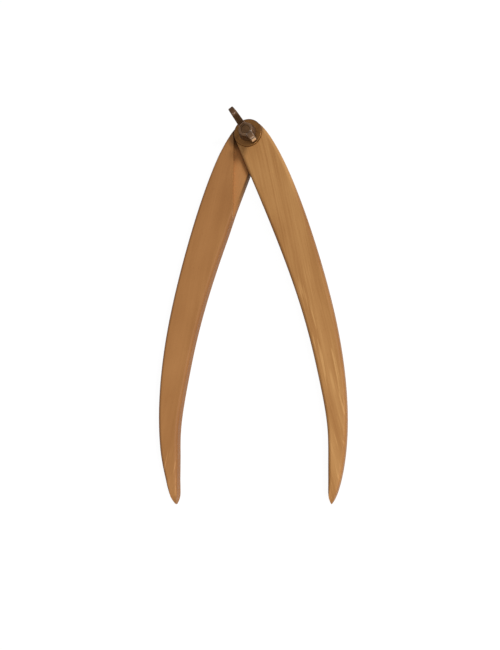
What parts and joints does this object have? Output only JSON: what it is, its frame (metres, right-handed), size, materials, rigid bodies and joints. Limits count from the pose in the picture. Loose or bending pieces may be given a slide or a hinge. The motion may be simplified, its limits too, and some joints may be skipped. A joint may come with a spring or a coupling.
{
  "type": "wooden compass",
  "caption": "Wooden outside calliper: curved flat legs half-lapped at the head and clamped on a bolt by a washer and wing nut, for gauging the width of round work.",
  "frame": {"origin": "the pivot axis at the crown of the bolt's head, which the calliper rests on when it lies flat", "axes": "+Z along the pivot axis, towards the wing nut; -Y from the pivot towards the tips, midway between the legs as they stand at rest; +X towards the front leg"},
  "size_m": [0.1656, 0.3459, 0.0436],
  "materials": {
    "left_leg_wood": "planed hardwood, oiled, with rounded edges",
    "right_leg_wood": "planed hardwood, oiled, a little lighter and more golden",
    "bolt_metal": "darkened brass, dull",
    "washer_metal": "darkened brass, rolled and tumbled",
    "nut_metal": "darkened cast brass, semi-gloss"
  },
  "bodies": {
    "back_leg": {"left_leg": "left_leg_wood", "pivot_bolt": "bolt_metal"},
    "front_leg": {"right_leg": "right_leg_wood"},
    "washer": {"washer": "washer_metal"},
    "wing_nut": {"wing_nut": "nut_metal"}
  },
  "joints": [
    {"name": "leg_pivot", "type": "hinge", "parent": "back_leg", "child": "front_leg", "pos_m": [0, 0, 0], "axis": [0, 0, 1], "range_deg": [-23, 132]},
    {"name": "washer_lift", "type": "slide", "parent": "back_leg", "child": "washer", "axis": [0, 0, 1], "range_m": [0, 0.0025]},
    {"name": "nut_turn", "type": "hinge", "parent": "washer", "child": "wing_nut", "pos_m": [0, 0, 0], "axis": [0, 0, 1], "range_deg": [0, 720]}
  ],
  "couplings": [
    {"joint": "nut_turn", "follows": "washer_lift", "rad_per_m": 5026.6}
  ]
}
